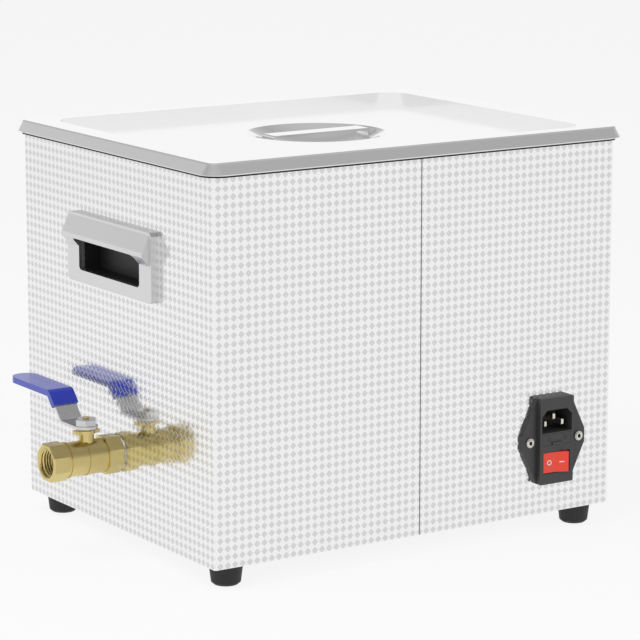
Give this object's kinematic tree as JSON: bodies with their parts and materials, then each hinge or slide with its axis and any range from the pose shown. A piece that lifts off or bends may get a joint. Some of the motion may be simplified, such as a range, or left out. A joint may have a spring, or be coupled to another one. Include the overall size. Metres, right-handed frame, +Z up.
{
  "type": "ultrasonic cleaner",
  "caption": "Bench ultrasonic cleaner with a folded patterned steel housing, drawn tank, lift-off lid with a sunk strap handle, drain ball valve and a switched fused power inlet.",
  "frame": {"origin": "on the floor under the middle of the whole footprint, drain valve included; the housing's own middle lies 23.2 mm towards -X", "axes": "+X to the right seen from the control panel, towards the drain valve; +Y to the rear, where the power inlet is; +Z up"},
  "size_m": [0.3702, 0.2569, 0.2679],
  "materials": {
    "housing_steel": "embossed diamond pattern",
    "base_steel": "satin",
    "screw_zinc": "zinc plated",
    "foot_rubber": "matte",
    "gasket_rubber": "matte",
    "tank_steel": "bright drawn",
    "lid_steel": "polished",
    "bezel_satin": "satin",
    "pocket_black": "matte",
    "brass": "satin",
    "ball_chrome": "polished",
    "seat_ptfe": "waxy",
    "sleeve_blue": "dipped",
    "hose_rubber": "silicone",
    "clamp_steel": "plain",
    "transducer_alu": "turned",
    "piezo_ceramic": "silvered ceramic",
    "heater_silicone": "silicone",
    "inlet_black": "moulded",
    "pin_nickel": "nickel plated",
    "fuse_glass": "clear",
    "rocker_red": "moulded",
    "panel_plastic": "moulded",
    "window_acrylic": "tinted",
    "board_green": "solder mask",
    "switch_black": "moulded",
    "coil_copper": "enamelled wire",
    "standoff_brass": "turned",
    "button_grey": "moulded"
  },
  "bodies": {
    "cabinet": {"housing_shell": "housing_steel", "base_plate": "base_steel", "base_screws": "screw_zinc", "foot_screws": "screw_zinc", "foot_nuts": "screw_zinc", "handle_screws": "screw_zinc", "inlet_screws": "screw_zinc", "panel_nuts": "screw_zinc", "rubber_feet": "foot_rubber", "tank_gasket": "gasket_rubber", "tank": "tank_steel", "drain_spout": "tank_steel", "handle_bezel_right": "bezel_satin", "handle_bezel_left": "bezel_satin", "handle_pocket_right": "pocket_black", "handle_pocket_left": "pocket_black", "valve_body": "brass", "valve_end_cap": "brass", "drain_nipple": "brass", "nipple_locknut": "brass", "valve_seats": "seat_ptfe", "valve_washer": "seat_ptfe", "drain_hose": "hose_rubber", "hose_clamps": "clamp_steel", "transducer_bolts": "clamp_steel", "transducer_back_masses": "clamp_steel", "transducer_front_masses": "transducer_alu", "heat_sink": "transducer_alu", "piezo_rings": "piezo_ceramic", "heater_pads": "heater_silicone", "temperature_sensor": "heater_silicone", "inlet_housing": "inlet_black", "inlet_pins": "pin_nickel", "inlet_terminals": "pin_nickel", "control_panel": "panel_plastic", "display_window": "window_acrylic", "panel_board": "board_green", "generator_board": "board_green", "tact_switches": "switch_black", "power_transistors": "switch_black", "capacitors": "switch_black", "transformer_core": "switch_black", "transformer_coil": "coil_copper", "board_standoffs": "standoff_brass"},
    "lid": {"lid_pan": "lid_steel", "lid_handle": "lid_steel"},
    "drain_lever": {"lever_arm": "screw_zinc", "lever_sleeve": "sleeve_blue", "lever_nut": "screw_zinc", "valve_stem": "brass", "valve_ball": "ball_chrome"},
    "power_rocker": {"power_rocker": "rocker_red"},
    "fuse_drawer": {"fuse_drawer": "inlet_black", "fuses": "fuse_glass"},
    "button_timer_up": {"button_timer_up": "button_grey"},
    "button_timer_down": {"button_timer_down": "button_grey"},
    "button_heat_up": {"button_heat_up": "button_grey"},
    "button_heat_down": {"button_heat_down": "button_grey"},
    "button_heater_switch": {"button_heater_switch": "button_grey"},
    "button_cleaning_switch": {"button_cleaning_switch": "button_grey"}
  },
  "joints": [
    {"name": "lid_lift", "type": "slide", "parent": "cabinet", "child": "lid", "axis": [0, 0, 1], "range_m": [0, 0.12]},
    {"name": "drain_lever_turn", "type": "hinge", "parent": "cabinet", "child": "drain_lever", "pos_m": [0.1535, 0, 0.0645], "axis": [0, 0, 1], "range_deg": [0, 90]},
    {"name": "power_rocker_tip", "type": "hinge", "parent": "cabinet", "child": "power_rocker", "pos_m": [-0.1288, 0.1223, 0.0493], "axis": [0, 0, 1], "range_deg": [0, 22]},
    {"name": "fuse_drawer_slide", "type": "slide", "parent": "cabinet", "child": "fuse_drawer", "axis": [0, 1, 0], "range_m": [0, 0.019]},
    {"name": "timer_up_press", "type": "slide", "parent": "cabinet", "child": "button_timer_up", "axis": [0, 1, 0], "range_m": [0, 0.001], "stiffness_N_per_m": 1200},
    {"name": "timer_down_press", "type": "slide", "parent": "cabinet", "child": "button_timer_down", "axis": [0, 1, 0], "range_m": [0, 0.001], "stiffness_N_per_m": 1200},
    {"name": "heat_up_press", "type": "slide", "parent": "cabinet", "child": "button_heat_up", "axis": [0, 1, 0], "range_m": [0, 0.001], "stiffness_N_per_m": 1200},
    {"name": "heat_down_press", "type": "slide", "parent": "cabinet", "child": "button_heat_down", "axis": [0, 1, 0], "range_m": [0, 0.001], "stiffness_N_per_m": 1200},
    {"name": "heater_switch_press", "type": "slide", "parent": "cabinet", "child": "button_heater_switch", "axis": [0, 1, 0], "range_m": [0, 0.001], "stiffness_N_per_m": 1200},
    {"name": "cleaning_switch_press", "type": "slide", "parent": "cabinet", "child": "button_cleaning_switch", "axis": [0, 1, 0], "range_m": [0, 0.001], "stiffness_N_per_m": 1200}
  ]
}
